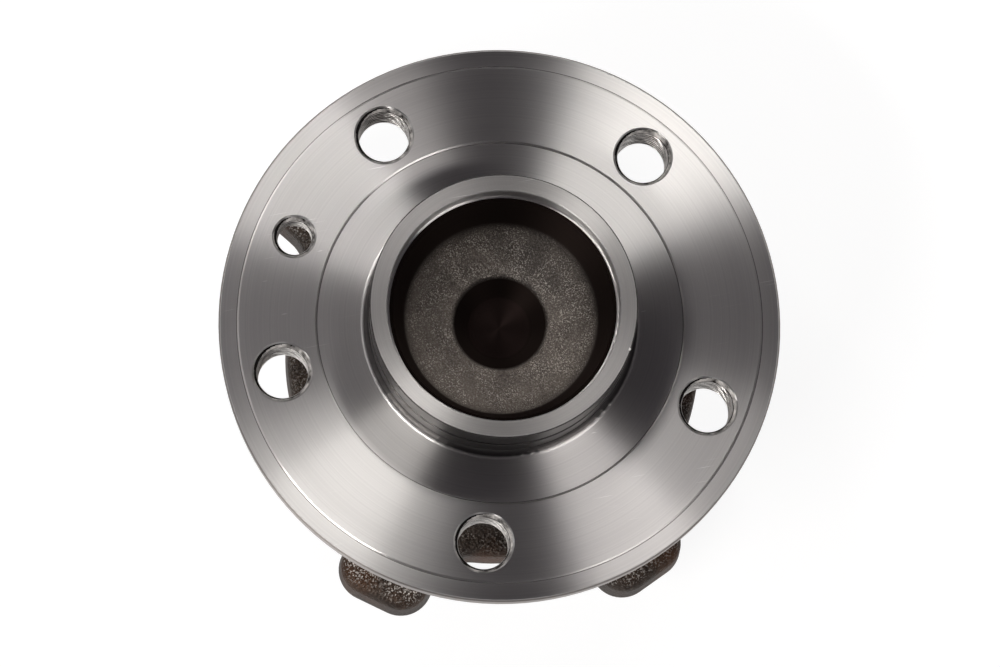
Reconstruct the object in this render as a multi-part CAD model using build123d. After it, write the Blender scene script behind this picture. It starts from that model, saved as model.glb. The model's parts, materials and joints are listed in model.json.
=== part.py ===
from build123d import *
import math
import os

# Flanged wheel hub bearing for a wheel that isn't driven: a forged hub with the wheel flange,
# turning in a forged outer ring on two rows of balls.
# Millimetres. +Z points along the hub axis to the wheel. The origin is on the axis, in the
# plane of the face that the brake disc seats on. +X is the line about which the four ears of
# the outer ring are symmetric.

# Wheel flange
flange_radius = 68.0
flange_rim_thickness = 5.5
rim_chamfer = 0.5
seat_inner_radius = 44.3
seat_outer_radius = 63.1
seat_step = 0.35
seat_step_run = 0.5
flange_web_depth = 8.6
flange_web_radius = 49.5
flange_web_fillet = 3.0
flange_edge_fillet = 4.0

# Wheel bolt holes, each in a forged boss, and the hole for the disc's retaining screw. Every
# threaded hole in the model has the thread's major diameter, and its crests are left out.
wheel_bolt_count = 5
wheel_bolt_circle_radius = 54.0
wheel_bolt_thread = 14.0
wheel_bolt_mouth_radius = 7.35
hub_turn = 38.3
boss_depth = 12.0
boss_radius = 10.8
boss_draft = 15.0
screw_thread = 10.0
screw_mouth_radius = 5.4

# Spigot that centres the wheel and the brake disc
spigot_height = 19.8
wheel_pilot_radius = 31.7
disc_pilot_radius = 31.9
disc_pilot_height = 9.4
pilot_groove_width = 1.0
pilot_groove_depth = 0.5
spigot_chamfer = 0.46
spigot_root_radius = 33.4
spigot_root_height = 2.0
disc_pilot_round = 0.3

# Forged pocket in the spigot, turned only at its mouth
pocket_bore_radius = 27.6
pocket_bore_depth = 5.0
pocket_lip_chamfer = 0.4
pocket_wall_radius = 26.2
pocket_floor_radius = 22.6
pocket_floor_dish = 2.0
pocket_hole_radius = 12.0
pocket_hole_floor_radius = 7.4
pocket_hole_depth = 9.5
pocket_bore_fillet = 0.3
pocket_floor_fillet = 3.0
pocket_hole_round = 1.2
pocket_hole_fillet = 2.5

# Balls and their two rows
ball_diameter = 12.7
ball_count = 13
ball_circle_radius = 31.0
contact_angle = 36.0
groove_ratio = 0.52
ball_clearance = 0.02
outboard_row_depth = 29.0
row_spacing = 23.0

# Raceway shoulders
inner_shoulder_radius = 29.6
inner_land_radius = 25.2
outer_shoulder_radius = 32.6
outer_land_radius = 37.1

# Hub stem, the inner ring pressed on it and the head formed over that ring
seal_face_depth = 14.0
seal_face_radius = 44.6
seal_face_fillet = 3.4
seal_face_round = 1.2
stem_radius = 18.0
inner_ring_outboard_reach = 9.0
inner_ring_inboard_reach = 11.0
ring_corner = 0.8
head_radius = 23.6
head_height = 3.8
head_round = 1.6
head_seat_round = 0.6
head_recess_radius = 11.0
head_recess_floor_radius = 9.4
head_recess_depth = 13.0
head_recess_fillet = 2.0

# Outer ring: barrel, mounting plate with four ears, and the pilot that enters the knuckle
ring_gap = 2.6
barrel_radius = 43.0
barrel_root_radius = 45.0
barrel_root_fillet = 4.0
barrel_end_round = 1.0
knuckle_face_depth = 50.0
plate_thickness = 11.0
plate_edge_round = 3.0
plate_land = 0.23
plate_draft = 4.0
ear_width = 24.6
ear_corner = 8.0
ear_root_fillet = 9.0
ear_angles = (66.0, 127.0, -127.0, -66.0)
knuckle_bolt_clearance = 13.6
knuckle_bolt_radius = barrel_root_radius + knuckle_bolt_clearance
ear_edge_distance = 12.0
ear_reach = knuckle_bolt_radius + ear_edge_distance
knuckle_bolt_thread = 12.0
knuckle_bolt_mouth_radius = 6.6
knuckle_pilot_radius = 43.0
knuckle_pilot_length = 14.5
pilot_end_chamfer = 1.0
face_undercut_width = 1.6
face_undercut_depth = 0.5
plate_front_draft = plate_thickness * math.tan(math.radians(plate_draft))
undercut_radius = knuckle_pilot_radius + face_undercut_width
plate_flat_radius = max(barrel_root_radius + barrel_root_fillet, undercut_radius) + plate_land
plate_radius = plate_flat_radius + plate_edge_round + plate_front_draft

# Seats of the outboard seal and of the end cap, in the two ends of the outer ring
seat_bore_radius = 38.5
seal_seat_depth = 4.2
cap_seat_depth = 4.5
seat_mouth_round = 0.4

# Cages
cage_inner_depth = 0.9
cage_outer_depth = 3.4
cage_inner_radius = ball_circle_radius - cage_inner_depth
cage_outer_radius = ball_circle_radius + cage_outer_depth
cage_open_side = 3.4
cage_back_side = 7.0
cage_pocket_clearance = 0.15

# Outboard seal
case_thickness = 0.8
case_bend_round = 0.5
case_recess = 0.3
case_disc_width = 4.5
case_disc_radius = seat_bore_radius - case_disc_width
rubber_skin = 0.6
lip_thickness = 0.6
lip_clearance = 0.3
axial_lip_radii = (34.0, 36.7)
axial_lip_rise = 1.4
radial_lip_width = 1.9

# Encoder for the wheel speed sensor
carrier_thickness = 0.8
carrier_sleeve_length = 2.8
carrier_inset = 0.6
carrier_radius = 36.4
magnet_sleeve_gap = 1.6
magnet_inner_radius = inner_shoulder_radius + magnet_sleeve_gap
magnet_radius = 36.7
magnet_thickness = 1.6
magnet_round = 0.3

# End cap
cap_thickness = 1.2
cap_sleeve_length = 4.1
cap_rim_radius = 41.2
cap_end_radius = 33.0
cap_depth = 5.0
cap_dimple_radius = 13.6
cap_dimple_depth = 0.7
cap_outer_bend = 1.5
cap_sleeve_bend = 0.8
cap_inner_bend = 0.4
cap_edge_round = 0.5

# Places worked out from the sizes above
ball_radius = ball_diameter / 2
groove_radius = groove_ratio * ball_diameter
inboard_row_depth = outboard_row_depth + row_spacing
inner_ring_start = inboard_row_depth - inner_ring_outboard_reach
inner_ring_end = inboard_row_depth + inner_ring_inboard_reach
outer_ring_start = seal_face_depth + ring_gap
outer_ring_end = knuckle_face_depth + knuckle_pilot_length
plate_front = knuckle_face_depth - plate_thickness


def half_section(corners):
    """Face in the XZ half plane from (radius, height, round) corners; a round of 0 is a sharp corner."""
    points = [Vector(radius, 0, height) for radius, height, _ in corners]
    edges = []
    ends = []
    for i, (_, _, radius) in enumerate(corners):
        here = points[i]
        back = (points[i - 1] - here).normalized()
        ahead = (points[(i + 1) % len(points)] - here).normalized()
        if radius == 0:
            ends.append((here, here))
            continue
        half_angle = math.radians(back.get_angle(ahead)) / 2
        setback = radius / math.tan(half_angle)
        middle = here + (back + ahead).normalized() * (radius / math.sin(half_angle) - radius)
        ends.append((here + back * setback, here + ahead * setback))
        edges.append(Edge.make_three_point_arc(ends[-1][0], middle, ends[-1][1]))
    for i in range(len(points)):
        start, end = ends[i - 1][1], ends[i][0]
        if (end - start).length > 1e-6:
            edges.append(Edge.make_line(start, end))
    return Face(Wire.combine(edges)[0])


def turned(corners):
    """Solid of revolution about the hub axis from the corners of its half section."""
    return revolve(half_section(corners), Axis.Z)


def polar(radius, angle, height=0.0):
    """Place at a radius and an angle about the hub axis."""
    turn = math.radians(angle)
    return Pos(radius * math.cos(turn), radius * math.sin(turn), height)


def raceway(row_depth, side, inner):
    """Ring that cuts a ball groove. side is 1 where the seal is on the wheel's side of the row.

    The groove's centre lies on the contact line, past the ball's centre, so that ball and groove
    stand ball_clearance apart where that line meets them.
    """
    offset = groove_radius - ball_radius - ball_clearance
    sign = 1 if inner else -1
    angle = math.radians(contact_angle)
    radius = ball_circle_radius + sign * offset * math.cos(angle)
    height = -row_depth - sign * side * offset * math.sin(angle)
    return Pos(0, 0, height) * Torus(radius, groove_radius)


def threaded_hole(thread, top, bottom, mouth_radius):
    """Cutter for a through hole along Z from top to bottom, with a 45 degree mouth at its top."""
    bore = thread / 2
    mouth = mouth_radius - bore
    hole = Pos(0, 0, (top + bottom) / 2) * Cylinder(bore, top - bottom + 2 * mouth)
    return hole + Pos(0, 0, top - mouth / 2) * Cone(bore, mouth_radius, mouth)


def make_hub_spindle():
    """Forged hub: wheel flange, spigot, pocket, outboard raceway, stem and formed head, in one piece."""
    web_slope_top = flange_rim_thickness + seat_step
    groove_floor = wheel_pilot_radius - pilot_groove_depth
    head_top = inner_ring_end + head_height
    body = turned([
        (0, -pocket_hole_depth, 0),
        (pocket_hole_floor_radius, -pocket_hole_depth, pocket_hole_fillet),
        (pocket_hole_radius, -pocket_floor_dish, pocket_hole_round),
        (pocket_floor_radius, 0, pocket_floor_fillet),
        (pocket_wall_radius, spigot_height - pocket_bore_depth, 0),
        (pocket_bore_radius, spigot_height - pocket_bore_depth, pocket_bore_fillet),
        (pocket_bore_radius, spigot_height - pocket_lip_chamfer, 0),
        (pocket_bore_radius + pocket_lip_chamfer, spigot_height, 0),
        (wheel_pilot_radius - spigot_chamfer, spigot_height, 0),
        (wheel_pilot_radius, spigot_height - spigot_chamfer, 0),
        (wheel_pilot_radius, disc_pilot_height + pilot_groove_width, 0),
        (groove_floor, disc_pilot_height + pilot_groove_width, 0),
        (groove_floor, disc_pilot_height, 0),
        (disc_pilot_radius, disc_pilot_height, disc_pilot_round),
        (disc_pilot_radius, spigot_root_height, 0),
        (spigot_root_radius, -seat_step, 0),
        (seat_inner_radius, -seat_step, 0),
        (seat_inner_radius + seat_step_run, 0, 0),
        (seat_outer_radius, 0, 0),
        (seat_outer_radius + seat_step_run, -seat_step, 0),
        (flange_radius - rim_chamfer, -seat_step, 0),
        (flange_radius, -seat_step - rim_chamfer, 0),
        (flange_radius, -web_slope_top + rim_chamfer, 0),
        (flange_radius - rim_chamfer, -web_slope_top, 0),
        (seat_outer_radius, -web_slope_top, flange_edge_fillet),
        (flange_web_radius, -flange_web_depth, flange_web_fillet),
        (seal_face_radius, -seal_face_depth, seal_face_round),
        (inner_shoulder_radius, -seal_face_depth, seal_face_fillet),
        (inner_shoulder_radius, -outboard_row_depth, 0),
        (inner_land_radius, -outboard_row_depth, 0),
        (inner_land_radius, -inner_ring_start, 0),
        (stem_radius, -inner_ring_start, 0),
        (stem_radius, -inner_ring_end, 0),
        (head_radius, -inner_ring_end, head_seat_round),
        (head_radius, -head_top, head_round),
        (head_recess_radius, -head_top, head_round),
        (head_recess_floor_radius, -head_top + head_recess_depth, head_recess_fillet),
        (0, -head_top + head_recess_depth, 0),
    ])
    boss_height = boss_depth - flange_rim_thickness
    boss_root = boss_radius + boss_height * math.tan(math.radians(boss_draft))
    boss = Pos(0, 0, -boss_depth + boss_height / 2) * Cone(boss_radius, boss_root, boss_height)
    hole = threaded_hole(wheel_bolt_thread, 0, -boss_depth, wheel_bolt_mouth_radius)
    step = 360 / wheel_bolt_count
    places = [polar(wheel_bolt_circle_radius, hub_turn + step * i) for i in range(wheel_bolt_count)]
    body += [place * boss for place in places]
    body -= [place * hole for place in places]
    screw_place = polar(wheel_bolt_circle_radius, hub_turn + 1.5 * step)
    body -= screw_place * threaded_hole(screw_thread, 0, -boss_depth, screw_mouth_radius)
    return body - raceway(outboard_row_depth, 1, True)


def make_inner_ring():
    """Ground ring with the inboard raceway, pressed on the stem up to its shoulder."""
    body = turned([
        (stem_radius, -inner_ring_start, ring_corner),
        (inner_land_radius, -inner_ring_start, ring_corner / 2),
        (inner_land_radius, -inboard_row_depth, 0),
        (inner_shoulder_radius, -inboard_row_depth, 0),
        (inner_shoulder_radius, -inner_ring_end, ring_corner / 2),
        (stem_radius, -inner_ring_end, ring_corner),
    ])
    return body - raceway(inboard_row_depth, -1, True)


def mounting_plate():
    """Plate with four ears that bolts to the knuckle: drafted sides, its front edge rounded."""
    outline = Circle(plate_radius)
    for angle in ear_angles:
        outline += Rot(0, 0, angle) * Pos(ear_reach / 2, 0) * Rectangle(ear_reach, ear_width)
    roots = [v for v in outline.vertices() if abs(Vector(*v).length - plate_radius) < 0.01]
    outline = fillet(roots, ear_root_fillet)
    tips = [v for v in outline.vertices() if Vector(*v).length > ear_reach]
    outline = fillet(tips, ear_corner)
    front_outline = Pos(0, 0, -plate_front) * offset(outline, -plate_front_draft)
    plate = loft([Pos(0, 0, -knuckle_face_depth) * outline, front_outline], ruled=True)
    front = plate.faces().sort_by(Axis.Z)[-1]
    return fillet(front.edges(), plate_edge_round)


def make_outer_ring():
    """Forged ring with both outer raceways, bolted to the knuckle, and the bores for seal and cap."""
    body = turned([
        (seat_bore_radius, -outer_ring_start, seat_mouth_round),
        (barrel_radius, -outer_ring_start, barrel_end_round),
        (barrel_root_radius, -plate_front, barrel_root_fillet),
        (plate_flat_radius, -plate_front, 0),
        (plate_flat_radius, -knuckle_face_depth, 0),
        (undercut_radius, -knuckle_face_depth, 0),
        (undercut_radius, -knuckle_face_depth + face_undercut_depth, 0),
        (knuckle_pilot_radius, -knuckle_face_depth + face_undercut_depth, 0),
        (knuckle_pilot_radius, -outer_ring_end + pilot_end_chamfer, 0),
        (knuckle_pilot_radius - pilot_end_chamfer, -outer_ring_end, 0),
        (seat_bore_radius, -outer_ring_end, 0),
        (seat_bore_radius, -outer_ring_end + cap_seat_depth, 0),
        (outer_land_radius, -outer_ring_end + cap_seat_depth, seat_mouth_round),
        (outer_land_radius, -inboard_row_depth, 0),
        (outer_shoulder_radius, -inboard_row_depth, 0),
        (outer_shoulder_radius, -outboard_row_depth, 0),
        (outer_land_radius, -outboard_row_depth, 0),
        (outer_land_radius, -outer_ring_start - seal_seat_depth, seat_mouth_round),
        (seat_bore_radius, -outer_ring_start - seal_seat_depth, 0),
    ])
    middle = Pos(0, 0, -knuckle_face_depth) * Cylinder(undercut_radius, 3 * plate_thickness)
    body += mounting_plate() - middle
    hole = threaded_hole(knuckle_bolt_thread, 0, -plate_thickness, knuckle_bolt_mouth_radius)
    inboard = Pos(0, 0, -knuckle_face_depth) * Rot(180, 0, 0)
    body -= [polar(knuckle_bolt_radius, angle) * inboard * hole for angle in ear_angles]
    body -= raceway(outboard_row_depth, 1, False)
    return body - raceway(inboard_row_depth, -1, False)


def ball_places(row_depth, shift):
    """Places of the balls of one row, evenly spaced and turned by shift ball pitches."""
    pitch = 360 / ball_count
    return [polar(ball_circle_radius, pitch * (i + shift), -row_depth) for i in range(ball_count)]


def make_cage(row_depth, side, shift):
    """Snap cage: a plain ring with a round pocket for each ball, open towards the other row."""
    length = cage_open_side + cage_back_side
    middle = -row_depth + side * (cage_back_side - cage_open_side) / 2
    body = Pos(0, 0, middle) * (Cylinder(cage_outer_radius, length) - Cylinder(cage_inner_radius, length))
    pocket = Sphere(ball_radius + cage_pocket_clearance)
    return body - [place * pocket for place in ball_places(row_depth, shift)]


def make_outboard_seal_case():
    """Steel case of the outboard seal, pressed into the outer ring."""
    disc = -outer_ring_start - seal_seat_depth
    return turned([
        (seat_bore_radius, -outer_ring_start - case_recess, 0),
        (seat_bore_radius, disc, case_bend_round),
        (case_disc_radius, disc, 0),
        (case_disc_radius, disc + case_thickness, 0),
        (seat_bore_radius - case_thickness, disc + case_thickness, 0),
        (seat_bore_radius - case_thickness, -outer_ring_start - case_recess, 0),
    ])


def make_outboard_seal_lips():
    """Rubber moulded to the case: one lip towards the hub's shoulder and two towards the flange."""
    disc = -outer_ring_start - seal_seat_depth
    face = disc + case_thickness
    skin = face + rubber_skin
    lip_end = -seal_face_depth - lip_clearance
    outline = [
        (case_disc_radius, disc, 0),
        (case_disc_radius, face, 0),
        (seat_bore_radius - case_thickness, face, 0),
        (seat_bore_radius - case_thickness, skin, 0),
    ]
    for radius in reversed(axial_lip_radii):
        outline += [
            (radius - axial_lip_rise + lip_thickness, skin, 0),
            (radius + lip_thickness, lip_end, 0),
            (radius, lip_end, 0),
            (radius - axial_lip_rise, skin, 0),
        ]
    lip_radius = inner_shoulder_radius + lip_clearance
    outline += [
        (lip_radius + radial_lip_width, skin, 0),
        (lip_radius, skin + lip_thickness, 0),
        (lip_radius, skin, 0),
        (lip_radius + radial_lip_width - lip_thickness, disc, 0),
    ]
    return turned(outline)


def make_encoder_carrier():
    """Pressed steel ring on the inner ring's shoulder that carries the encoder magnet."""
    end = -inner_ring_end + carrier_inset
    return turned([
        (inner_shoulder_radius, end, 0),
        (inner_shoulder_radius, end + carrier_sleeve_length, 0),
        (inner_shoulder_radius + carrier_thickness, end + carrier_sleeve_length, 0),
        (inner_shoulder_radius + carrier_thickness, end + carrier_thickness, 0),
        (carrier_radius, end + carrier_thickness, 0),
        (carrier_radius, end, 0),
    ])


def make_encoder_magnet():
    """Ferrite rubber ring bonded to the carrier's inboard face."""
    end = -inner_ring_end + carrier_inset
    return turned([
        (magnet_inner_radius, end, 0),
        (carrier_radius, end, 0),
        (carrier_radius, end + carrier_thickness, 0),
        (magnet_radius, end + carrier_thickness, 0),
        (magnet_radius, end - magnet_thickness, magnet_round),
        (magnet_inner_radius, end - magnet_thickness, magnet_round),
    ])


def make_end_cap():
    """Drawn steel cap pressed into the inboard end of the outer ring."""
    sleeve_inner = seat_bore_radius - cap_thickness
    end = -outer_ring_end - cap_depth
    inside = end + cap_thickness
    return turned([
        (0, end + cap_dimple_depth, 0),
        (cap_dimple_radius - cap_dimple_depth, end + cap_dimple_depth, 0),
        (cap_dimple_radius, end, cap_edge_round),
        (cap_end_radius, end, cap_outer_bend),
        (sleeve_inner, -outer_ring_end - cap_thickness, cap_sleeve_bend),
        (cap_rim_radius, -outer_ring_end - cap_thickness, cap_edge_round),
        (cap_rim_radius, -outer_ring_end, cap_edge_round),
        (seat_bore_radius, -outer_ring_end, 0),
        (seat_bore_radius, -outer_ring_end + cap_sleeve_length, cap_inner_bend),
        (sleeve_inner, -outer_ring_end + cap_sleeve_length, 0),
        (sleeve_inner, -outer_ring_end, cap_edge_round),
        (cap_end_radius, inside, cap_inner_bend),
        (cap_dimple_radius, inside, cap_inner_bend),
        (cap_dimple_radius - cap_dimple_depth, inside + cap_dimple_depth, 0),
        (0, inside + cap_dimple_depth, 0),
    ])


pieces = {
    "hub_spindle": make_hub_spindle(),
    "inner_ring": make_inner_ring(),
    "outer_ring": make_outer_ring(),
    "cage_outboard": make_cage(outboard_row_depth, 1, 0),
    "cage_inboard": make_cage(inboard_row_depth, -1, 0.5),
    "outboard_seal_case": make_outboard_seal_case(),
    "outboard_seal_lips": make_outboard_seal_lips(),
    "encoder_carrier": make_encoder_carrier(),
    "encoder_magnet": make_encoder_magnet(),
    "end_cap": make_end_cap(),
}
ball = Sphere(ball_radius)
for row, depth, shift in (("outboard", outboard_row_depth, 0), ("inboard", inboard_row_depth, 0.5)):
    for i, place in enumerate(ball_places(depth, shift), start=1):
        pieces[f"ball_{row}_{i:02d}"] = place * ball

os.makedirs("parts", exist_ok=True)
for name, shape in pieces.items():
    export_step(shape, f"parts/{name}.step")
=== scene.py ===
import json
import math

import bpy
import numpy as np
from mathutils import Matrix, Vector


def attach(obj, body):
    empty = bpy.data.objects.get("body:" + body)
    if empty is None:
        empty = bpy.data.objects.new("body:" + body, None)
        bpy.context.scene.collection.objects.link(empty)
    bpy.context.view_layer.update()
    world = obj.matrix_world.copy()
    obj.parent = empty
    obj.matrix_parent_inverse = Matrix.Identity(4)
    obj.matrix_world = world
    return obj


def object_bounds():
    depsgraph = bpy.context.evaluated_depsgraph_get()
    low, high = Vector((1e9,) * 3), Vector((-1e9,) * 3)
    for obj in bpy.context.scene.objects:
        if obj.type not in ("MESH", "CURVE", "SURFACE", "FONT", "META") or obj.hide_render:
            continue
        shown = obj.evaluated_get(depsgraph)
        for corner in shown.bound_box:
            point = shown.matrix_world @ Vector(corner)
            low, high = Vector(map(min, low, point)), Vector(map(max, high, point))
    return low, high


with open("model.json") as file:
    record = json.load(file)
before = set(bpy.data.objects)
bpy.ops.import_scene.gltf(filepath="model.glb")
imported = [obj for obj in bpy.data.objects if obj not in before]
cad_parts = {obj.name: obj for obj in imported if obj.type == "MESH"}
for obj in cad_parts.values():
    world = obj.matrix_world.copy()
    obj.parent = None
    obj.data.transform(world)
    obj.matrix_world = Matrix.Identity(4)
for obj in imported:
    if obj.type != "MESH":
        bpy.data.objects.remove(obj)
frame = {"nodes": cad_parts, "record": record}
cad_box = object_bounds()
nodes = frame["nodes"]
mounts = {mount["name"]: mount for mount in frame["record"]["mounts"]}
scene = bpy.context.scene
scene.view_settings.view_transform = "Standard"

# The set: the part rests on its end cap on a plain pale floor, under five soft box lamps and a
# dim ceiling. The camera looks down the hub axis from a little below it, as in the photograph.
# The floor glows white to the camera, is plain matt to the part, and is clear from below.
mm = 0.001
camera_distance = 792.86 * mm
camera_tilt = math.radians(11.296)
camera_bearing = math.radians(-113.907)
picture_turn = math.radians(-11.0)
sensor_width = 36.0
focal_length = 118.1455
shift_across, shift_up = -0.000514, -0.012608

floor_half_width, floor_gap = 3.0, 0.05 * mm
floor_white = 0.9
floor_glow = 0.86
floor_share = 0.25
ceiling_colour = (0.052, 0.047, 0.053, 1)
horizon_colour = (0.85, 0.85, 0.86, 1)
horizon_height = 0.3

lamp_distance = 1.0
lamp_height = 0.12
lamps = {
    "upper_right": (47.1, 58, 0.30, 1.65, (1.0, 0.985, 0.965)),
    "upper_left": (116.7, 54, 0.33, 2.0, (1.0, 0.975, 0.96)),
    "left": (164.0, 54, 0.66, 0.95, (1.0, 0.965, 0.965)),
    "lower_left": (210.0, 48, 0.40, 4.6, (1.0, 0.98, 0.955)),
    "lower_right": (306.5, 66, 0.25, 1.4, (1.0, 0.97, 0.96)),
}


def spherical(distance, bearing, rise):
    """Point at a distance from the origin, at a bearing about Z and an angle above the XY plane."""
    flat = distance * math.cos(rise)
    return Vector((flat * math.cos(bearing), flat * math.sin(bearing), distance * math.sin(rise)))


def aim(thing, place, across):
    """Stands a camera or a lamp at a place, looking at the origin, with its own X along across."""
    back = place.normalized()
    right = (across - back * across.dot(back)).normalized()
    turned = Matrix((right, back.cross(right), back)).transposed().to_4x4()
    thing.matrix_world = Matrix.Translation(place) @ turned
    scene.collection.objects.link(thing)


camera = bpy.data.objects.new("camera", bpy.data.cameras.new("camera"))
camera.data.sensor_width = sensor_width
camera.data.lens = focal_length
camera.data.shift_x, camera.data.shift_y = shift_across, shift_up
aim(camera, spherical(camera_distance, camera_bearing, math.pi / 2 - camera_tilt),
    Vector((math.cos(picture_turn), math.sin(picture_turn), 0)))
scene.camera = camera

for name, (bearing, rise, width, power, colour) in lamps.items():
    light = bpy.data.lights.new(name, "AREA")
    light.shape = "RECTANGLE"
    light.size, light.size_y, light.energy, light.color = width, lamp_height, power, colour
    place = spherical(lamp_distance, math.radians(bearing), math.radians(rise))
    aim(bpy.data.objects.new(name, light), place, Vector((0, 0, 1)).cross(place))


def feed(tree, made, inputs):
    """Links a node's inputs, by name or number, to sockets or sets them, and gives its outputs."""
    for key, value in inputs.items():
        if isinstance(value, bpy.types.NodeSocket):
            tree.links.new(value, made.inputs[key])
        else:
            made.inputs[key].default_value = value
    return made.outputs


def put(tree, kind, inputs=None, **settings):
    """Adds a shader node with its settings and inputs, and gives its outputs."""
    made = tree.nodes.new("ShaderNode" + kind)
    for name, value in settings.items():
        setattr(made, name, value)
    return feed(tree, made, inputs or {})


def calc(tree, operation, *values):
    """The result of a Math node."""
    return put(tree, "Math", dict(enumerate(values)), operation=operation)[0]


def blend(tree, share, start, end):
    """Colour between start, at a share of 0, and end, at 1."""
    return put(tree, "Mix", {0: share, 6: start, 7: end}, data_type="RGBA")[2]


def new_material(name):
    """A blank node material: its tree and the socket that shows its surface."""
    material = bpy.data.materials.new(name)
    material.use_nodes = True
    tree = material.node_tree
    tree.nodes.clear()
    return material, tree, tree.nodes.new("ShaderNodeOutputMaterial").inputs["Surface"]


floor_mesh = bpy.data.meshes.new("floor")
far, ground = floor_half_width, cad_box[0].z - floor_gap
floor_corners = [(-far, -far, ground), (far, -far, ground), (far, far, ground), (-far, far, ground)]
floor_mesh.from_pydata(floor_corners, [], [(0, 1, 2, 3)])
floor = bpy.data.objects.new("floor", floor_mesh)
scene.collection.objects.link(floor)
material, tree, surface = new_material("pale_floor")
path = put(tree, "LightPath")
shown = calc(tree, "MAXIMUM", path["Is Camera Ray"], path["Is Glossy Ray"])
shown = calc(tree, "MAXIMUM", shown, path["Is Transmission Ray"])
matt = put(tree, "BsdfDiffuse", {"Color": (floor_white, floor_white, floor_white, 1)})[0]
faint = floor_white * floor_share
faint_matt = put(tree, "BsdfDiffuse", {"Color": (faint, faint, faint, 1)})[0]
glow = put(tree, "Emission", {"Color": (1, 1, 1, 1), "Strength": floor_glow})[0]
bright = put(tree, "AddShader", {0: faint_matt, 1: glow})[0]
white_floor = put(tree, "MixShader", {0: shown, 1: matt, 2: bright})[0]
from_below = put(tree, "NewGeometry")["Backfacing"]
clear = put(tree, "BsdfTransparent")[0]
tree.links.new(put(tree, "MixShader", {0: from_below, 1: white_floor, 2: clear})[0], surface)
floor_mesh.materials.append(material)

scene.world = bpy.data.worlds.new("studio")
scene.world.use_nodes = True
tree = scene.world.node_tree
tree.nodes.clear()
rise = put(tree, "SeparateXYZ", {0: put(tree, "TexCoord")["Generated"]})["Z"]
share = put(tree, "MapRange", {"Value": rise, "From Max": horizon_height},
            interpolation_type="SMOOTHSTEP")[0]
around = put(tree, "Background", {"Color": blend(tree, share, horizon_colour, ceiling_colour)})[0]
white = put(tree, "Background", {"Color": (1, 1, 1, 1)})[0]
sky = put(tree, "MixShader", {0: put(tree, "LightPath")["Is Camera Ray"], 1: around, 2: white})[0]
tree.links.new(sky, tree.nodes.new("ShaderNodeOutputWorld").inputs["Surface"])

# The hub: one steel forging. The flange, the spigot and everything that seats are turned, so
# they carry fine rings about the axis; the pocket and the flange's back are left as forged and
# shot-blasted.
pocket_radius, pocket_top, pocket_floor = 27.0 * mm, 14.9 * mm, -11.0 * mm
pocket_hole_radius, pocket_hole_top, pocket_hole_floor = 11.9 * mm, -2.4 * mm, -9.0 * mm
forged_back_top, forged_back_bottom, forged_back_radius = -6.0 * mm, -11.9 * mm, 45.3 * mm
turned_colour = (0.60, 0.585, 0.57, 1)
turned_dark = (0.545, 0.53, 0.52, 1)
scuff_colour = (0.92, 0.91, 0.89, 1)


def shader_group(name, inputs, outputs):
    """A blank shader node group: its tree, the sockets it is given and its output node."""
    group = bpy.data.node_groups.new(name, "ShaderNodeTree")
    for title, kind, value in inputs:
        socket = group.interface.new_socket(title, in_out="INPUT", socket_type="NodeSocket" + kind)
        if value is not None:
            socket.default_value = value
    for title in outputs:
        group.interface.new_socket(title, in_out="OUTPUT", socket_type="NodeSocketFloat")
    given = group.nodes.new("NodeGroupInput").outputs
    return group, given, group.nodes.new("NodeGroupOutput")


def use(tree, group, inputs):
    """Places a shader node group and gives its outputs."""
    made = tree.nodes.new("ShaderNodeGroup")
    made.node_tree = group
    return feed(tree, made, inputs)


def share_of(tree, value, low, high):
    """Runs from 0 at low to 1 at high, and stays there outside them."""
    return put(tree, "MapRange", {"Value": value, "From Min": low, "From Max": high})[0]


def give(group, output, values):
    """Feeds a group's outputs."""
    for title, value in values.items():
        group.links.new(value, output.inputs[title])


# Where a point lies about the hub axis: its radius, its height, and its run along the profile
# as the lathe tool sees it, which grows outwards on a face and along the axis on a cylinder.
axis_place, given, output = shader_group(
    "axis_place", [("Position", "Vector", None)], ["Radius", "Height", "Run"])
parts = put(axis_place, "SeparateXYZ", {0: given["Position"]})
flat = put(axis_place, "CombineXYZ", {0: parts["X"], 1: parts["Y"]})[0]
radius = put(axis_place, "VectorMath", {0: flat}, operation="LENGTH")["Value"]
give(axis_place, output, {
    "Radius": radius,
    "Height": parts["Z"],
    "Run": calc(axis_place, "SUBTRACT", radius, parts["Z"]),
})

# Lathe marks: uneven rings one feed apart along the run, with broader waves of tool wear, and a
# smooth swell for their relief. Each kind has its rings per feed and its detail.
ring_kinds = {"Fine": (1.0, 2.0), "Broad": (0.09, 2.0), "Swell": (0.4, 0.0)}
lathe_marks, given, output = shader_group(
    "lathe_marks", [("Run", "Float", 0.0), ("Feed", "Float", 0.4 * mm)], list(ring_kinds))
turns = calc(lathe_marks, "DIVIDE", given["Run"], given["Feed"])
give(lathe_marks, output, {
    kind: put(lathe_marks, "TexNoise", {"W": turns, "Scale": rate, "Detail": detail},
              noise_dimensions="1D")[0]
    for kind, (rate, detail) in ring_kinds.items()
})

# Scuffs: short straight scratches in two directions, kept to a few patches, and small dings.
# A stroke's three rates are how often its pattern changes per metre along, across and through it.
strokes = {0.55: (60.0, 2600.0, 60.0), -1.0: (45.0, 2100.0, 60.0)}
stroke_low, stroke_high = 0.70, 0.76
scuffed_rate, scuffed_fade = 55.0, 0.12
ding_turn, ding_rates = 0.9, (70.0, 420.0, 70.0)
ding_edge, ding_core, ding_rarity = 0.06, 0.02, 0.88
scuffs, given, output = shader_group(
    "scuffs", [("Position", "Vector", None), ("Share", "Float", 0.5)], ["Scratch", "Ding"])


def laid_along(turn, rates):
    """Position turned about Z and stretched, so that a pattern laid on it runs one way."""
    inputs = {0: given["Position"], "Rotation": (0.0, 0.0, turn), "Scale": rates}
    return put(scuffs, "Mapping", inputs)[0]


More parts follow.
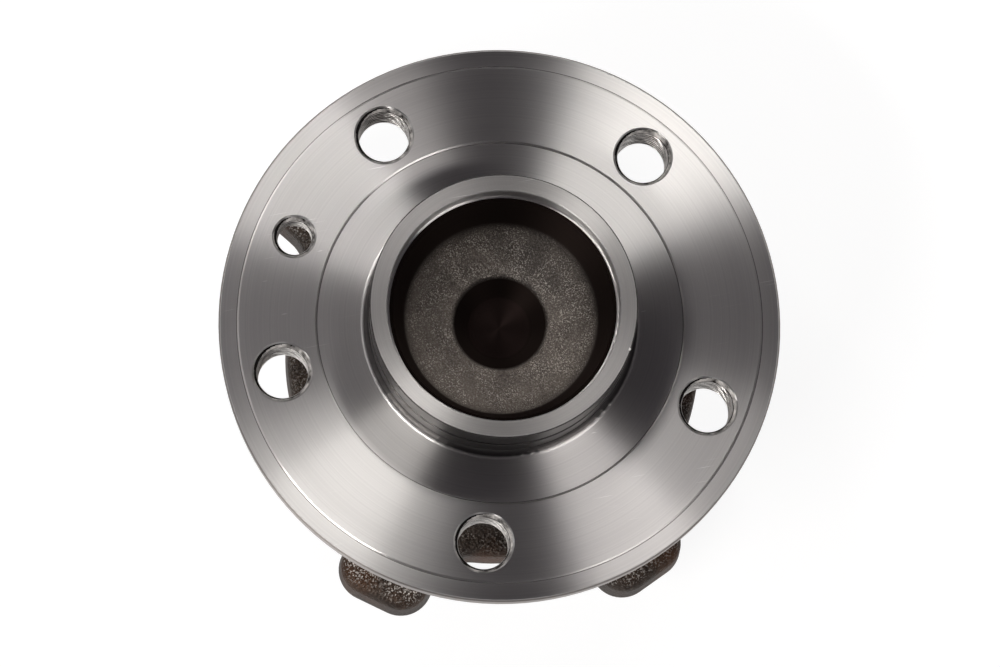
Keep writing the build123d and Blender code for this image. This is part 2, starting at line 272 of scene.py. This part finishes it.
drawn = []
for turn, rates in strokes.items():
    streak = put(scuffs, "TexNoise", {"Vector": laid_along(turn, rates), "Scale": 1.0, "Detail": 1.0})[0]
    drawn.append(share_of(scuffs, streak, stroke_low, stroke_high))
patches = put(scuffs, "TexNoise", {"Vector": given["Position"], "Scale": scuffed_rate, "Detail": 1.0})[0]
edge = calc(scuffs, "SUBTRACT", 1.0, given["Share"])
patches = share_of(scuffs, patches, edge, calc(scuffs, "ADD", edge, scuffed_fade))
inputs = {"Vector": laid_along(ding_turn, ding_rates), "Scale": 1.0, "Randomness": 1.0}
cells = put(scuffs, "TexVoronoi", inputs)
chance = put(scuffs, "SeparateColor", {0: cells["Color"]})[0]
near = share_of(scuffs, cells["Distance"], ding_edge, ding_core)
give(scuffs, output, {
    "Scratch": calc(scuffs, "MULTIPLY", calc(scuffs, "MAXIMUM", *drawn), patches),
    "Ding": calc(scuffs, "MULTIPLY", near, calc(scuffs, "GREATER_THAN", chance, ding_rarity)),
})

# Forged and shot-blasted skin: overlapping small dimples, and grains that the shot left bright,
# gathered in patches. Outside a patch a few of them are still there.
blotch_rate, patch_rate = 110.0, 190.0
grit_fineness, grit_low, grit_high = 1.7, 0.525, 0.665
patch_low, patch_high, patch_least = 0.38, 0.60, 0.26
blasted_skin, given, output = shader_group(
    "blasted_skin", [("Position", "Vector", None), ("Grain", "Float", 0.7 * mm)],
    ["Height", "Tone", "Speck"])
position = given["Position"]
scale = calc(blasted_skin, "DIVIDE", 1.0, given["Grain"])
pits = put(blasted_skin, "TexVoronoi", {"Vector": position, "Scale": scale}, feature="SMOOTH_F1")
rough = put(blasted_skin, "TexNoise", {"Vector": position, "Scale": scale, "Detail": 3.0})[0]
blotch = put(blasted_skin, "TexNoise", {"Vector": position, "Scale": blotch_rate, "Detail": 3.0})[0]
fine = calc(blasted_skin, "MULTIPLY", scale, grit_fineness)
grit = put(blasted_skin, "TexNoise", {"Vector": position, "Scale": fine, "Detail": 1.0})[0]
grit = share_of(blasted_skin, grit, grit_low, grit_high)
patch = put(blasted_skin, "TexNoise", {"Vector": position, "Scale": patch_rate, "Detail": 2.0})[0]
patch = put(blasted_skin, "MapRange",
            {"Value": patch, "From Min": patch_low, "From Max": patch_high, "To Min": patch_least})[0]
give(blasted_skin, output, {
    "Height": calc(blasted_skin, "ADD", pits["Distance"], rough),
    "Tone": calc(blasted_skin, "MULTIPLY_ADD", blotch, 0.5, calc(blasted_skin, "MULTIPLY", rough, 0.5)),
    "Speck": calc(blasted_skin, "MULTIPLY", grit, patch),
})


def inside(tree, value, low, high):
    """1 where a value lies between two limits, else 0."""
    above = calc(tree, "GREATER_THAN", value, low)
    return calc(tree, "MULTIPLY", above, calc(tree, "LESS_THAN", value, high))


def finish_metal(tree, surface, colour, roughness, metallic, height, depth, anisotropy=0.0):
    """The part's metal shader: height, in millimetres, is felt as relief, depth times as deep."""
    normal = put(tree, "Bump", {"Strength": 1.0, "Distance": depth * mm, "Height": height})[0]
    inputs = {"Base Color": colour, "Roughness": roughness, "Metallic": metallic, "Normal": normal}
    if anisotropy:
        inputs |= {"Anisotropic": anisotropy, "Anisotropic Rotation": 0.25}
        inputs["Tangent"] = put(tree, "Tangent", direction_type="RADIAL", axis="Z")[0]
    tree.links.new(put(tree, "BsdfPrincipled", inputs)[0], surface)


def wear(node, material):
    """Gives a CAD node its material."""
    mesh = nodes[node].data
    for i in range(len(mesh.materials)):
        mesh.materials[i] = material


material, tree, surface = new_material("turned_and_forged_steel")
position = put(tree, "TexCoord")["Object"]
place = use(tree, axis_place, {"Position": position})
marks = use(tree, lathe_marks, {"Run": place["Run"], "Feed": 0.42 * mm})
worn = use(tree, scuffs, {"Position": position, "Share": 0.42})
skin = use(tree, blasted_skin, {"Position": position, "Grain": 0.55 * mm})
pocket = calc(tree, "MULTIPLY", calc(tree, "LESS_THAN", place["Radius"], pocket_radius),
              inside(tree, place["Height"], pocket_floor, pocket_top))
back = calc(tree, "MULTIPLY", calc(tree, "GREATER_THAN", place["Radius"], forged_back_radius),
            inside(tree, place["Height"], forged_back_bottom, forged_back_top))
forged = calc(tree, "MAXIMUM", pocket, back)
turned = calc(tree, "SUBTRACT", 1.0, forged)

# The spigot: a flat land at its top between two chamfers, and its side, which ends in a cone at
# the root.
lip_break, lip_top, crown_top, crown_break = 27.76 * mm, 28.0 * mm, 31.24 * mm, 31.53 * mm
land_height = 19.5 * mm
side_bottom, side_top = -0.3 * mm, 19.62 * mm
side_within, side_end = 33.0 * mm, 33.35 * mm
land = calc(tree, "MULTIPLY", calc(tree, "GREATER_THAN", place["Height"], land_height),
            inside(tree, place["Radius"], lip_break, crown_break))
spigot_side = calc(tree, "MULTIPLY", calc(tree, "GREATER_THAN", place["Radius"], crown_top),
                   inside(tree, place["Height"], side_bottom, side_top))
spigot_side = calc(tree, "MULTIPLY", spigot_side,
                   share_of(tree, place["Radius"], side_end, side_within))

# Nicks: small bright chips along both edges of the land at the spigot's top.
edge_height, lip_margin, crown_margin, outer_margin = 19.0 * mm, 0.2 * mm, 0.1 * mm, 0.3 * mm
chip_rate, chip_reach, chip_rarity = 330.0, 0.13, 0.72
edges = calc(tree, "MAXIMUM",
             inside(tree, place["Radius"], lip_break - lip_margin, lip_top + outer_margin),
             inside(tree, place["Radius"], crown_top - crown_margin, crown_break + outer_margin))
edges = calc(tree, "MULTIPLY", edges, calc(tree, "GREATER_THAN", place["Height"], edge_height))
chips = put(tree, "TexVoronoi", {"Vector": position, "Scale": chip_rate})
chance = put(tree, "SeparateColor", {0: chips["Color"]})[0]
chipped = calc(tree, "MULTIPLY", calc(tree, "LESS_THAN", chips["Distance"], chip_reach),
               calc(tree, "GREATER_THAN", chance, chip_rarity))
nicks = calc(tree, "MULTIPLY", edges, chipped)

# Turned: the colour hardly changes from ring to ring, and shows handling marks. The rim is darker;
# the spigot's side and the foot of each of the seat's two steps are darkened with painted shade.
rim_edge = 67.62 * mm
step_inner, step_outer, step_run = 44.3 * mm, 63.6 * mm, 0.5 * mm
foot_off, foot_on, foot_share = 0.12 * mm, 0.10 * mm, 0.8
rim_grey = (0.30, 0.275, 0.26, 1)
spigot_side_painted_shade = (0.085, 0.08, 0.078, 1)
step_foot_painted_shade = (0.12, 0.11, 0.105, 1)
nick_colour = (0.95, 0.94, 0.92, 1)
rim_side = calc(tree, "GREATER_THAN", place["Radius"], rim_edge)
ringed = calc(tree, "MULTIPLY_ADD", marks["Fine"], 0.75, calc(tree, "MULTIPLY", marks["Broad"], 0.25))
bright_steel = blend(tree, share_of(tree, ringed, 0.3, 0.7), turned_dark, turned_colour)
scratched = calc(tree, "MAXIMUM", worn["Scratch"], worn["Ding"])
bright_steel = blend(tree, calc(tree, "MULTIPLY", scratched, 0.75), bright_steel, scuff_colour)
bright_steel = blend(tree, rim_side, bright_steel, rim_grey)
# Painted shade: the spigot's side and the cone at its root are darkened.
bright_steel = blend(tree, spigot_side, bright_steel, spigot_side_painted_shade)
# Painted shade in the corner at the foot of each step of the seat.
foot = calc(tree, "MAXIMUM",
            inside(tree, place["Radius"], step_inner - foot_off, step_inner + foot_on),
            inside(tree, place["Radius"], step_outer - foot_on, step_outer + foot_off))
bright_steel = blend(tree, calc(tree, "MULTIPLY", foot, foot_share), bright_steel, step_foot_painted_shade)
bright_steel = blend(tree, nicks, bright_steel, nick_colour)

# The lathe's tool and the deburring round the corners over: relief that turns the light from one
# face to the next across each chamfer, each step of the seat and the cone at the spigot's root.
# A rise is in millimetres, and is below zero where the relief sinks.
relief_bottom, seat_bottom = -9.7 * mm, -0.5 * mm
root_radius, root_run, fillet_end = 31.9 * mm, 1.5 * mm, 34.0 * mm
cone_rise, fillet_rise = 2.184, 0.141
crown_rise, lip_rise, step_rise = -0.41, 0.34, -0.172
upper = calc(tree, "GREATER_THAN", place["Height"], relief_bottom)
cone = share_of(tree, place["Radius"], root_radius, root_radius + root_run)
cone_relief = calc(tree, "MULTIPLY_ADD", calc(tree, "MULTIPLY", cone, cone), cone_rise, -cone_rise)
crown = share_of(tree, place["Radius"], crown_break, crown_top)
crown_relief = calc(tree, "MULTIPLY", crown, crown_rise)
lip = share_of(tree, place["Radius"], lip_top, lip_break)
lip_relief = calc(tree, "MULTIPLY", lip, lip_rise)
rising = share_of(tree, place["Radius"], step_inner, step_inner + step_run)
falling = share_of(tree, place["Radius"], step_outer, step_outer - step_run)
step = calc(tree, "MULTIPLY", calc(tree, "MINIMUM", rising, falling),
            calc(tree, "GREATER_THAN", place["Height"], seat_bottom))
step_relief = calc(tree, "MULTIPLY", step, step_rise)
fillet = share_of(tree, place["Radius"], fillet_end, root_radius + root_run)
fillet_relief = calc(tree, "MULTIPLY", calc(tree, "MULTIPLY", fillet, fillet), fillet_rise)
eased = calc(tree, "ADD", calc(tree, "ADD", cone_relief, crown_relief),
             calc(tree, "ADD", lip_relief, fillet_relief))
eased = calc(tree, "MULTIPLY_ADD", eased, upper, step_relief)

# Forged: the wall and the hole are near black, part scale and part painted shade of the recess. The
# shot brightens the open floor, most in a ring of it, and painted light lifts it towards one side.
forged_colour = (0.045, 0.036, 0.031, 1)
forged_light = (0.135, 0.114, 0.097, 1)
forged_speck = (0.46, 0.42, 0.37, 1)
speck_share = 0.75
scale_and_shade_colour = (0.0150, 0.0105, 0.0092, 1)
scale_and_shade_brown = (0.0190, 0.0125, 0.0115, 1)
scale_and_shade_bottom, scale_and_shade_top, hole_fade = -0.55 * mm, 4.0 * mm, 1.2 * mm
ring_start, ring_full, ring_fading, ring_end = 16.0 * mm, 20.5 * mm, 22.0 * mm, 25.5 * mm
painted_light_side = (-0.616, -0.788, 0.0)
painted_light_tone_reach, painted_light_tone_gain, ring_gain = 24.0 * mm, 2.4, 0.5
tone_gain, tone_drop = 0.10, 0.135
painted_light_scale_reach, painted_light_scale_least, painted_light_scale_gain = 22.0 * mm, 0.76, 0.52
# Painted shade, with dark scale, on the pocket's wall and down its hole.
wall = share_of(tree, place["Height"], scale_and_shade_bottom, scale_and_shade_top)
hole = calc(tree, "MULTIPLY", calc(tree, "LESS_THAN", place["Radius"], pocket_hole_radius),
            share_of(tree, place["Height"], pocket_hole_top, pocket_hole_top - hole_fade))
scale_and_shade = calc(tree, "MULTIPLY", pocket, calc(tree, "MAXIMUM", wall, hole))
hole_floor = calc(tree, "LESS_THAN", place["Height"], pocket_hole_floor)
black_scale_and_shade = blend(tree, hole_floor, scale_and_shade_colour, scale_and_shade_brown)
ring_and_painted_light = calc(tree, "MULTIPLY", share_of(tree, place["Radius"], ring_start, ring_full),
               share_of(tree, place["Radius"], ring_end, ring_fading))
# Painted light: the open floor is lighter towards one side, in its tone and in its colour's strength.
side = put(tree, "VectorMath", {0: position, 1: painted_light_side}, operation="DOT_PRODUCT")["Value"]
ring_and_painted_light = calc(tree, "MULTIPLY_ADD", share_of(tree, side, -painted_light_tone_reach, painted_light_tone_reach), painted_light_tone_gain,
               calc(tree, "MULTIPLY", ring_and_painted_light, ring_gain))
tone = calc(tree, "MULTIPLY_ADD", ring_and_painted_light, tone_gain, calc(tree, "SUBTRACT", skin["Tone"], tone_drop))
dark_steel = blend(tree, share_of(tree, tone, 0.35, 0.62), forged_colour, forged_light)
dark_steel = blend(tree, calc(tree, "MULTIPLY", skin["Speck"], speck_share), dark_steel, forged_speck)
painted_light_scale = calc(tree, "MULTIPLY_ADD", share_of(tree, side, -painted_light_scale_reach, painted_light_scale_reach), painted_light_scale_gain, painted_light_scale_least)
dark_steel = put(tree, "VectorMath", {0: dark_steel, "Scale": painted_light_scale}, operation="SCALE")["Vector"]
dark_steel = blend(tree, scale_and_shade, dark_steel, black_scale_and_shade)
colour = blend(tree, forged, bright_steel, dark_steel)

# Gloss and relief: the land and the nicks are duller than the rest of the turned steel, black
# scale is duller than bare forged steel, and the bare floor reflects less than clean metal.
turned_roughness, land_roughness, nick_roughness = 0.28, 0.30, 0.25
forged_roughness, scale_roughness, bare_loss = 0.50, 0.25, 0.75
lathe_depth, land_depth, pit_depth = 0.006, 0.030, 0.26
land_grain_rate = 2600.0
turned_rough = calc(tree, "MULTIPLY_ADD", marks["Broad"], 0.03, turned_roughness)
turned_rough = calc(tree, "MULTIPLY_ADD", land, land_roughness, turned_rough)
turned_rough = calc(tree, "MULTIPLY_ADD", nicks, nick_roughness, turned_rough)
forged_rough = calc(tree, "MULTIPLY_ADD", scale_and_shade, scale_roughness, forged_roughness)
forged_rough = calc(tree, "MULTIPLY", forged, forged_rough)
roughness = calc(tree, "MULTIPLY_ADD", turned, turned_rough, forged_rough)
bare = calc(tree, "MULTIPLY", forged, calc(tree, "SUBTRACT", 1.0, scale_and_shade))
metallic = calc(tree, "MULTIPLY_ADD", bare, -bare_loss, 1.0)
land_grain = put(tree, "TexNoise", {"Vector": position, "Scale": land_grain_rate, "Detail": 2.0})[0]
turned_height = calc(tree, "MULTIPLY_ADD", marks["Swell"], lathe_depth,
                     calc(tree, "MULTIPLY", worn["Scratch"], -lathe_depth))
turned_height = calc(tree, "MULTIPLY_ADD", calc(tree, "MULTIPLY", land, land_grain), land_depth,
                     turned_height)
turned_height = calc(tree, "ADD", turned_height, eased)
height = calc(tree, "MULTIPLY", bare, skin["Height"])
height = calc(tree, "MULTIPLY_ADD", height, pit_depth, turned_height)
finish_metal(tree, surface, colour, roughness, metallic, height, 1.0, anisotropy=1.0)
wear("hub_spindle", material)

# Threads cut in the wheel bolt holes, in the screw hole and in the ears of the outer ring: each
# is a thin sleeve with the thread's ridges, set in its plain bore and chamfered at its mouth.
wheel_pitch, wheel_crest, wheel_mouth, boss_depth = 1.5 * mm, 6.188 * mm, 7.35 * mm, 12.0 * mm
screw_pitch, screw_crest, screw_mouth = 1.5 * mm, 4.188 * mm, 5.4 * mm
web_near, web_far, web_gap = (49.5 * mm, -8.6 * mm), (63.1 * mm, -5.85 * mm), 0.15 * mm
steps_around, steps_per_pitch = 128, 12
sleeve_wall, root_gap, end_gap = 0.08 * mm, 0.03 * mm, 0.05 * mm
flank_start, flank_run = 0.25, 0.625
mouth_mark = -0.12
thread_crest_glint = (0.86, 0.83, 0.80, 1)
thread_groove_shade = (0.020, 0.016, 0.015, 1)


def thread_sleeve(name, centre, facing, top, bottom, major, crest, mouth, pitch):
    """Sleeve with an inside thread, from height top down to bottom, which may vary by angle.

    Its radius is the crest's, plus the thread's depth times a trapezoid wave of the turn and
    the depth together, or the mouth cone's radius where that is larger. The outside is a plain
    cylinder, and the rows close on themselves. An attribute keeps how deep in the groove each
    point is, and marks the mouth with a value below zero.
    """
    angle = np.linspace(0, 2 * np.pi, steps_around, endpoint=False)[None, :]
    low = bottom(angle) if callable(bottom) else np.full_like(angle, bottom)
    rows = int(math.ceil((top - low.min()) / pitch * steps_per_pitch)) + 1
    share = np.linspace(0, 1, rows)[:, None]
    start = top - (mouth - major - sleeve_wall)
    height = start + share * (low - start)
    phase = (height / pitch * facing + angle / (2 * np.pi)) % 1.0
    wave = np.clip((abs(2 * phase - 1) - flank_start) / flank_run, 0, 1)
    thread, cone = crest + (major - root_gap - crest) * wave, mouth - (top - height)
    radius = np.maximum(thread, cone)
    depth = np.where(cone > thread, mouth_mark, wave)
    radius = np.vstack([radius, np.full_like(angle, major + sleeve_wall)])
    height = np.vstack([height, height[-1:]])
    depth = np.vstack([depth, np.zeros_like(angle)])
    x = centre[0] + radius * np.cos(angle)
    y = centre[1] + radius * np.sin(angle)
    points = np.stack([x, y, centre[2] + facing * height], axis=-1).reshape(-1, 3)
    row, column = np.meshgrid(np.arange(rows + 1), np.arange(steps_around), indexing="ij")
    below, beside = (row + 1) % (rows + 1), (column + 1) % steps_around
    corners = [row * steps_around + column, below * steps_around + column,
               below * steps_around + beside, row * steps_around + beside]
    faces = np.stack(corners[::-1] if facing > 0 else corners, axis=-1).reshape(-1, 4)
    mesh = bpy.data.meshes.new(name)
    mesh.from_pydata(points.tolist(), [], faces.tolist())
    groove = mesh.attributes.new("groove", "FLOAT", "POINT")
    groove.data.foreach_set("value", depth.ravel().astype(np.float32))
    piece = bpy.data.objects.new(name, mesh)
    scene.collection.objects.link(piece)
    return piece


# Cut steel with stains, painted glints on the crests, painted shade in the grooves and a dull mouth.
stain_rate, tear_rate = 420.0, 1800.0
groove_shade_gain, stain_dirt = 3.2, 1.3
crest_roughness, mouth_roughness = 0.22, 0.35
thread_material, tree, surface = new_material("cut_thread_steel")
position = put(tree, "TexCoord")["Object"]
groove = put(tree, "Attribute", attribute_name="groove")["Fac"]
stain = put(tree, "TexNoise", {"Vector": position, "Scale": stain_rate, "Detail": 4.0})[0]
tear = put(tree, "TexNoise", {"Vector": position, "Scale": tear_rate, "Detail": 2.0})[0]
mouth = calc(tree, "LESS_THAN", groove, -0.02)
groove = calc(tree, "ABSOLUTE", groove)
stain_and_groove_shade = calc(tree, "MULTIPLY_ADD", stain, stain_dirt, -stain_dirt / 2)
stain_and_groove_shade = calc(tree, "MULTIPLY_ADD", groove, groove_shade_gain, stain_and_groove_shade)
# Painted glints on the thread crests and painted shade in the grooves, mixed with stains.
colour = blend(tree, share_of(tree, stain_and_groove_shade, 0.20, 0.62), thread_crest_glint, thread_groove_shade)
roughness = calc(tree, "MULTIPLY_ADD", stain, 0.3, crest_roughness)
roughness = calc(tree, "MULTIPLY_ADD", mouth, mouth_roughness, roughness)
finish_metal(tree, surface, colour, roughness, 0.9, tear, 0.05)

bolts = mounts["wheel_bolts"]["dims"]
screw = mounts["disc_screw"]
screw_place = Vector(screw["pos_m"])
screw_bearing = math.atan2(screw_place.y, screw_place.x)
bolt_circle, bolt_pitch_angle = bolts["pcd_mm"] / 2 * mm, 2 * math.pi / bolts["count"]
for i in range(bolts["count"]):
    bearing = screw_bearing + bolt_pitch_angle * (i + 0.5)
    centre = (bolt_circle * math.cos(bearing), bolt_circle * math.sin(bearing), 0.0)
    sleeve = thread_sleeve(f"wheel_bolt_thread_{i + 1}", centre, 1, 0.0, -boss_depth + end_gap,
                           bolts["hole_r_mm"] * mm, wheel_crest, wheel_mouth, wheel_pitch)
    sleeve.data.materials.append(thread_material)
    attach(sleeve, "hub")


def web_height(angle):
    """Height of the flange's sloping back where the screw hole's wall meets it, by angle."""
    out = bolt_circle + screw["dims"]["r_mm"] * mm * np.cos(angle - screw_bearing)
    slope = (web_far[1] - web_near[1]) / (web_far[0] - web_near[0])
    return np.maximum(web_near[1] + slope * (out - web_near[0]), web_near[1]) + web_gap


sleeve = thread_sleeve("screw_thread", (screw_place.x, screw_place.y, 0.0), 1, 0.0, web_height,
                       screw["dims"]["r_mm"] * mm, screw_crest, screw_mouth, screw_pitch)
sleeve.data.materials.append(thread_material)
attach(sleeve, "hub")

# The outer ring: one forging with a plate of four ears, left dark brown and shot-blasted
# outside, and turned or ground where it seats on the knuckle, holds the seals or guides balls.
knuckle_pitch, knuckle_crest, knuckle_mouth = 1.75 * mm, 5.053 * mm, 6.6 * mm
plate_thickness = 11.0 * mm
machined_below, machined_within, machined_above = -49.6 * mm, 42.3 * mm, -17.15 * mm
ring_brown = (0.017, 0.0115, 0.0088, 1)
ring_light = (0.062, 0.044, 0.033, 1)
ring_speck_glint = (0.80, 0.75, 0.70, 1)
rust_colour = (0.105, 0.042, 0.016, 1)
rust_rate, rust_share = 60.0, 0.75

material, tree, surface = new_material("forged_ring_steel")
position = put(tree, "TexCoord")["Object"]
place = use(tree, axis_place, {"Position": position})
marks = use(tree, lathe_marks, {"Run": place["Run"], "Feed": 0.35 * mm})
skin = use(tree, blasted_skin, {"Position": position, "Grain": 0.75 * mm})
machined = calc(tree, "MAXIMUM", calc(tree, "LESS_THAN", place["Height"], machined_below),
                calc(tree, "MAXIMUM", calc(tree, "LESS_THAN", place["Radius"], machined_within),
                     calc(tree, "GREATER_THAN", place["Height"], machined_above)))
forged = calc(tree, "SUBTRACT", 1.0, machined)
dark_steel = blend(tree, share_of(tree, skin["Tone"], 0.35, 0.62), ring_brown, ring_light)
rust = put(tree, "TexNoise", {"Vector": position, "Scale": rust_rate, "Detail": 5.0})[0]
rust = calc(tree, "MULTIPLY", share_of(tree, rust, 0.50, 0.70), rust_share)
dark_steel = blend(tree, rust, dark_steel, rust_colour)

# Bright grains, partly shot-blasted grain and partly painted glints, lie mostly on the plate's front
# face: many on the ears' tips, fewer on the plate between them, and few on the sides and the barrel.
glint_face_bottom, glint_face_top = -40.6 * mm, -39.3 * mm
tip_edge, tip_inner, ear_outer, ear_inner = 69.2 * mm, 66.0 * mm, 62.0 * mm, 57.0 * mm
plate_share, ear_extra, elsewhere_share = 0.23, 0.62, 0.05
tip_face_glints = calc(tree, "MULTIPLY", share_of(tree, place["Height"], glint_face_bottom, glint_face_top),
                  share_of(tree, place["Radius"], tip_edge, tip_inner))
ear_glints = share_of(tree, place["Radius"], ear_inner, ear_outer)
ear_glints = calc(tree, "MULTIPLY_ADD", ear_glints, ear_extra, plate_share)
grain_glint_share = calc(tree, "MULTIPLY_ADD", tip_face_glints, ear_glints, elsewhere_share)
# Painted glints: bright grains on the ears' lit front face.
dark_steel = blend(tree, calc(tree, "MULTIPLY", skin["Speck"], grain_glint_share), dark_steel, ring_speck_glint)
bright_steel = blend(tree, share_of(tree, marks["Fine"], 0.35, 0.65), turned_dark, turned_colour)
colour = blend(tree, machined, dark_steel, bright_steel)
roughness = calc(tree, "ADD", calc(tree, "MULTIPLY", forged, 0.5),
                 calc(tree, "MULTIPLY", machined, calc(tree, "MULTIPLY_ADD", marks["Broad"], 0.1, 0.33)))
metallic = calc(tree, "SUBTRACT", 1.0, calc(tree, "MULTIPLY", forged, 0.4))
height = calc(tree, "MULTIPLY_ADD", calc(tree, "MULTIPLY", forged, skin["Height"]), 0.22,
              calc(tree, "MULTIPLY", marks["Swell"], 0.005))
finish_metal(tree, surface, colour, roughness, metallic, height, 1.0, anisotropy=0.7)
wear("outer_ring", material)

face_height = mounts["knuckle_face"]["pos_m"][2]
for name in ("knuckle_bolts_wide", "knuckle_bolts_narrow"):
    mount = mounts[name]
    for hand, side in (("left", 1), ("right", -1)):
        centre = (mount["pos_m"][0], side * mount["dims"]["spacing_y_mm"] / 2 * mm, face_height)
        sleeve = thread_sleeve(f"{name}_thread_{hand}", centre, -1, 0.0,
                               -plate_thickness + end_gap, mount["dims"]["hole_r_mm"] * mm,
                               knuckle_crest, knuckle_mouth, knuckle_pitch)
        sleeve.data.materials.append(thread_material)
        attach(sleeve, "knuckle_side")

# The inner ring and the balls: hardened bearing steel, the ring ground all over and the balls
# lapped almost to a mirror.
ground_colour = (0.62, 0.62, 0.625, 1)
ground_dark = (0.53, 0.53, 0.54, 1)
ball_colour = (0.72, 0.72, 0.725, 1)
ball_shade = (0.66, 0.66, 0.67, 1)

material, tree, surface = new_material("ground_ring_steel")
position = put(tree, "TexCoord")["Object"]
place = use(tree, axis_place, {"Position": position})
marks = use(tree, lathe_marks, {"Run": place["Run"], "Feed": 0.12 * mm})
worn = use(tree, scuffs, {"Position": position, "Share": 0.3})
colour = blend(tree, share_of(tree, marks["Fine"], 0.3, 0.7), ground_dark, ground_colour)
colour = blend(tree, calc(tree, "MULTIPLY", worn["Scratch"], 0.5), colour, scuff_colour)
finish_metal(tree, surface, colour, calc(tree, "MULTIPLY_ADD", marks["Broad"], 0.12, 0.2), 1.0,
             marks["Swell"], 0.002, anisotropy=0.6)
wear("inner_ring", material)

material, tree, surface = new_material("lapped_ball_steel")
position = put(tree, "TexCoord")["Object"]
haze = put(tree, "TexNoise", {"Vector": position, "Scale": 240.0, "Detail": 4.0})[0]
hairline = put(tree, "TexNoise", {"Vector": position, "Scale": 2400.0, "Detail": 2.0})[0]
finish_metal(tree, surface, blend(tree, share_of(tree, haze, 0.3, 0.7), ball_shade, ball_colour),
             calc(tree, "MULTIPLY_ADD", haze, 0.1, 0.04), 1.0, hairline, 0.0006)
for name in nodes:
    if name.startswith("ball_"):
        wear(name, material)

# The cages: snap cages moulded in glass-filled polyamide, matt, with a faint flow pattern.
cage_colour = (0.36, 0.27, 0.14, 1)
cage_dark = (0.27, 0.19, 0.09, 1)
material, tree, surface = new_material("cage_polyamide")
position = put(tree, "TexCoord")["Object"]
flow = put(tree, "TexNoise", {"Vector": position, "Scale": 150.0, "Detail": 4.0, "Distortion": 1.2})[0]
fibres = put(tree, "TexNoise", {"Vector": position, "Scale": 1900.0, "Detail": 2.0})[0]
finish_metal(tree, surface, blend(tree, share_of(tree, flow, 0.35, 0.65), cage_dark, cage_colour),
             calc(tree, "MULTIPLY_ADD", fibres, 0.2, 0.38), 0.0, fibres, 0.02)
wear("cage_outboard", material)
wear("cage_inboard", material)

# The seal and the encoder: a pressed steel case with rubber lips moulded on it, and a pressed
# steel ring that carries a ring of ferrite-filled rubber.
case_colour = (0.50, 0.49, 0.48, 1)
case_dark = (0.38, 0.37, 0.365, 1)
material, tree, surface = new_material("pressed_case_steel")
position = put(tree, "TexCoord")["Object"]
place = use(tree, axis_place, {"Position": position})
marks = use(tree, lathe_marks, {"Run": place["Height"], "Feed": 0.2 * mm})
worn = use(tree, scuffs, {"Position": position, "Share": 0.5})
colour = blend(tree, share_of(tree, marks["Broad"], 0.35, 0.65), case_dark, case_colour)
colour = blend(tree, calc(tree, "MULTIPLY", worn["Scratch"], 0.6), colour, scuff_colour)
roughness = calc(tree, "MULTIPLY_ADD", marks["Fine"], 0.15, 0.26)
finish_metal(tree, surface, colour, roughness, 1.0, marks["Fine"], 0.004)
wear("outboard_seal_case", material)
wear("encoder_carrier", material)

# Moulded rubber: near black, with a fine matt grain and a little grey bloom. Each of the two has
# its node, its colour, its bloom's grey and its roughness.
rubbers = {
    "nitrile_rubber": ("outboard_seal_lips", (0.016, 0.016, 0.017, 1), (0.05, 0.05, 0.05, 1), 0.42),
    "ferrite_rubber": ("encoder_magnet", (0.022, 0.021, 0.020, 1), (0.06, 0.058, 0.055, 1), 0.5),
}
for name, (node, black, grey, smoothest) in rubbers.items():
    material, tree, surface = new_material(name)
    position = put(tree, "TexCoord")["Object"]
    bloom = put(tree, "TexNoise", {"Vector": position, "Scale": 130.0, "Detail": 5.0})[0]
    grain = put(tree, "TexNoise", {"Vector": position, "Scale": 3000.0, "Detail": 2.0})[0]
    colour = blend(tree, share_of(tree, bloom, 0.4, 0.75), black, grey)
    roughness = calc(tree, "MULTIPLY_ADD", grain, 0.15, smoothest)
    finish_metal(tree, surface, colour, roughness, 0.0, grain, 0.012)
    wear(node, material)

# The end cap: drawn from sheet and zinc plated, so it has drawing marks down its sleeve and a
# pale yellowish bloom over its face.
zinc_colour = (0.50, 0.50, 0.485, 1)
zinc_yellow = (0.46, 0.41, 0.28, 1)
drawing_marks = (1500.0, 1500.0, 40.0)
material, tree, surface = new_material("zinc_plated_steel")
position = put(tree, "TexCoord")["Object"]
drawn = put(tree, "Mapping", {0: position, "Scale": drawing_marks})[0]
drawn = put(tree, "TexNoise", {"Vector": drawn, "Scale": 1.0, "Detail": 2.0})[0]
worn = use(tree, scuffs, {"Position": position, "Share": 0.55})
bloom = put(tree, "TexNoise", {"Vector": position, "Scale": 45.0, "Detail": 6.0})[0]
colour = blend(tree, share_of(tree, bloom, 0.35, 0.95), zinc_colour, zinc_yellow)
colour = blend(tree, calc(tree, "MULTIPLY", worn["Scratch"], 0.6), colour, scuff_colour)
roughness = calc(tree, "MULTIPLY_ADD", bloom, 0.2, 0.22)
finish_metal(tree, surface, colour, roughness, 1.0, drawn, 0.004)
wear("end_cap", material)
